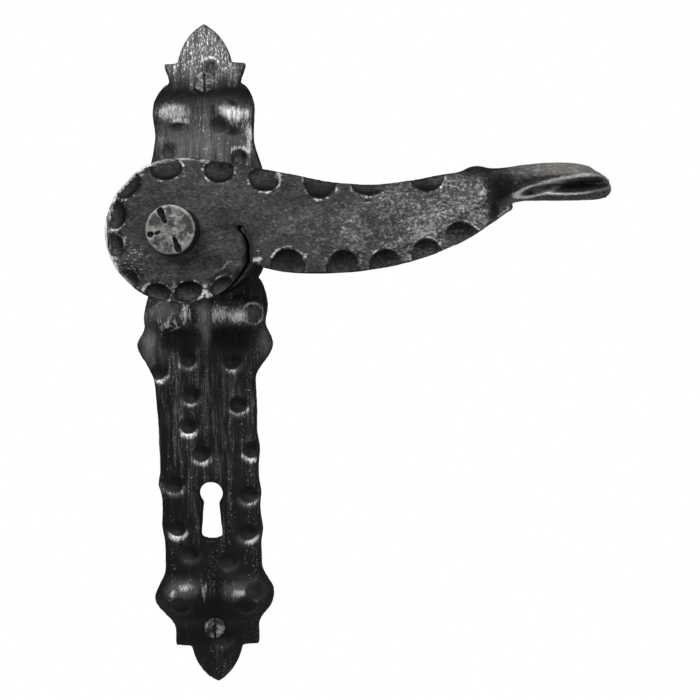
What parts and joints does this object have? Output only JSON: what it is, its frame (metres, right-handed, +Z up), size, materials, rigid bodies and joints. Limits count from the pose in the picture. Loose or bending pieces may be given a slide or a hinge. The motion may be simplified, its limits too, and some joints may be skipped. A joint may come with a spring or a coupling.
{
  "type": "door lever handle on long plate",
  "caption": "Forged black door lever with round hub and twisted leaf grip, sprung on a long dented plate with leaf tips, split ridges and a keyhole.",
  "frame": {"origin": "where the spindle's axis meets the door's face", "axes": "+X along the lever's arm, +Y into the door along the spindle, +Z up along the plate"},
  "size_m": [0.1544, 0.105, 0.2373],
  "materials": {
    "forged_iron": "black hammered, with worn bright highlights",
    "worn_steel": "worn, with dark chisel marks",
    "bronze": "satin sintered bronze",
    "nylon": "natural white",
    "zinc_steel": "zinc plated",
    "black_steel": "blackened",
    "bright_steel": "ground",
    "spring_steel": "oiled"
  },
  "bodies": {
    "plate": {"backplate": "forged_iron", "bearing_bush": "bronze", "thrust_washer": "nylon", "return_spring": "spring_steel", "spring_anchor": "bright_steel", "stop_pins": "bright_steel", "spring_cover": "zinc_steel", "cover_screws": "zinc_steel", "fixing_screws": "black_steel"},
    "lever": {"lever": "forged_iron", "lever_rivet": "worn_steel", "lever_neck": "forged_iron", "spindle": "zinc_steel", "grub_screw": "black_steel", "drive_plate": "zinc_steel", "drive_pin": "bright_steel", "rear_washer": "nylon", "retaining_ring": "spring_steel"}
  },
  "joints": [
    {"name": "lever_turn", "type": "hinge", "parent": "plate", "child": "lever", "pos_m": [0, 0, 0], "axis": [0, 1, 0], "range_deg": [0, 40], "stiffness_Nm_per_rad": 0.6, "springref_deg": -34.38, "deforming": ["return_spring"]}
  ]
}
